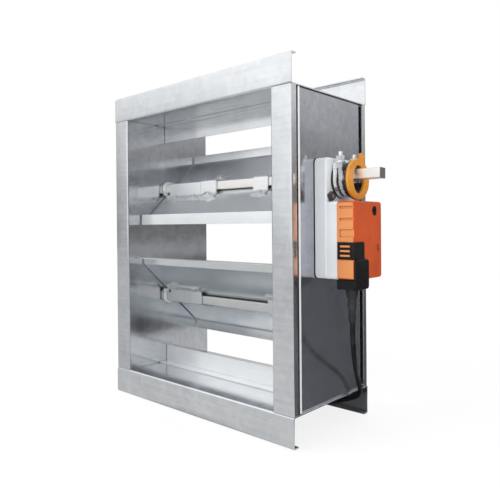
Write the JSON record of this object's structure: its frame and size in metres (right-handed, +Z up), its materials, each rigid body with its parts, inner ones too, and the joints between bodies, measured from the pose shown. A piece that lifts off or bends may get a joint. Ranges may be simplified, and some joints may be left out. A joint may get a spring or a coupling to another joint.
{
  "type": "volume control damper",
  "caption": "Rectangular duct damper with opposed folded blades on square shafts, geared together in the side frame and driven by a clamp-on electric actuator.",
  "frame": {"origin": "on the floor under the middle of the casing, midway between its flange faces", "axes": "+X towards the actuator side, +Y along the air flow, +Z up"},
  "size_m": [0.335, 0.132, 0.365],
  "materials": {
    "galvanised_sheet": "glossy galvanised",
    "zinc_plated_steel": "bright zinc",
    "clamp_black": "satin",
    "bush_nylon": "satin",
    "gear_nylon": "satin",
    "housing_grey": "fine grain",
    "cover_orange": "fine grain",
    "ring_yellow": "satin",
    "button_black": "satin",
    "cable_black": "matte",
    "board_green": "satin"
  },
  "bodies": {
    "casing": {"left_side_channel": "galvanised_sheet", "right_side_channel": "galvanised_sheet", "bottom_channel": "galvanised_sheet", "top_channel": "galvanised_sheet", "casing_rivets": "zinc_plated_steel", "bottom_blade_stop": "galvanised_sheet", "top_blade_stop": "galvanised_sheet", "jamb_cover": "galvanised_sheet", "upper_idler_axle": "zinc_plated_steel", "lower_idler_axle": "zinc_plated_steel", "idler_clips": "zinc_plated_steel", "actuator_base": "housing_grey", "actuator_cover": "cover_orange", "actuator_motor": "zinc_plated_steel", "actuator_circuit_board": "board_green", "anti_rotation_bracket": "galvanised_sheet", "bracket_screw": "zinc_plated_steel", "connector_block": "button_black", "cable_gland": "button_black", "end_stop_clip": "clamp_black", "end_stop_insert": "zinc_plated_steel", "direction_switch": "clamp_black", "service_plug": "clamp_black", "power_cable": "cable_black", "cable_coil": "cable_black"},
    "upper_blade_set": {"upper_blade": "galvanised_sheet", "drive_shaft": "zinc_plated_steel", "right_upper_bush": "bush_nylon", "left_upper_bush": "bush_nylon", "upper_left_strap": "zinc_plated_steel", "upper_right_strap": "zinc_plated_steel", "upper_strap_rivets": "zinc_plated_steel", "shaft_lock_saddle": "zinc_plated_steel", "shaft_lock_screws": "zinc_plated_steel", "cover_bush": "bush_nylon", "drive_gear": "gear_nylon", "spindle_hub": "clamp_black", "clamp_bands": "zinc_plated_steel", "clamp_u_bolt": "zinc_plated_steel", "clamp_jaw": "zinc_plated_steel", "clamp_nuts": "zinc_plated_steel", "position_indicator": "ring_yellow"},
    "lower_blade_set": {"lower_blade": "galvanised_sheet", "lower_shaft": "zinc_plated_steel", "right_lower_bush": "bush_nylon", "left_lower_bush": "bush_nylon", "lower_left_strap": "zinc_plated_steel", "lower_right_strap": "zinc_plated_steel", "lower_strap_rivets": "zinc_plated_steel", "lower_gear": "gear_nylon"},
    "upper_idler": {"upper_idler_gear": "gear_nylon"},
    "lower_idler": {"lower_idler_gear": "gear_nylon"},
    "release_button": {"release_button": "button_black", "release_button_ribs": "cover_orange"}
  },
  "joints": [
    {"name": "blade_drive", "type": "hinge", "parent": "casing", "child": "upper_blade_set", "pos_m": [0, -0.0025, 0.2535], "axis": [1, 0, 0], "range_deg": [-43, 47]},
    {"name": "lower_blade_turn", "type": "hinge", "parent": "casing", "child": "lower_blade_set", "pos_m": [0, -0.0025, 0.1155], "axis": [1, 0, 0], "range_deg": [-47, 43]},
    {"name": "upper_idler_turn", "type": "hinge", "parent": "casing", "child": "upper_idler", "pos_m": [0, -0.0025, 0.2075], "axis": [1, 0, 0], "range_deg": [-47, 43]},
    {"name": "lower_idler_turn", "type": "hinge", "parent": "casing", "child": "lower_idler", "pos_m": [0, -0.0025, 0.1615], "axis": [1, 0, 0], "range_deg": [-43, 47]},
    {"name": "release_button_press", "type": "slide", "parent": "casing", "child": "release_button", "axis": [0, 1, 0], "range_m": [0, 0.0025], "stiffness_N_per_m": 400, "springref_m": -0.001}
  ],
  "couplings": [
    {"joint": "upper_idler_turn", "follows": "blade_drive", "ratio": -1},
    {"joint": "lower_idler_turn", "follows": "blade_drive", "ratio": 1},
    {"joint": "lower_blade_turn", "follows": "blade_drive", "ratio": -1}
  ]
}
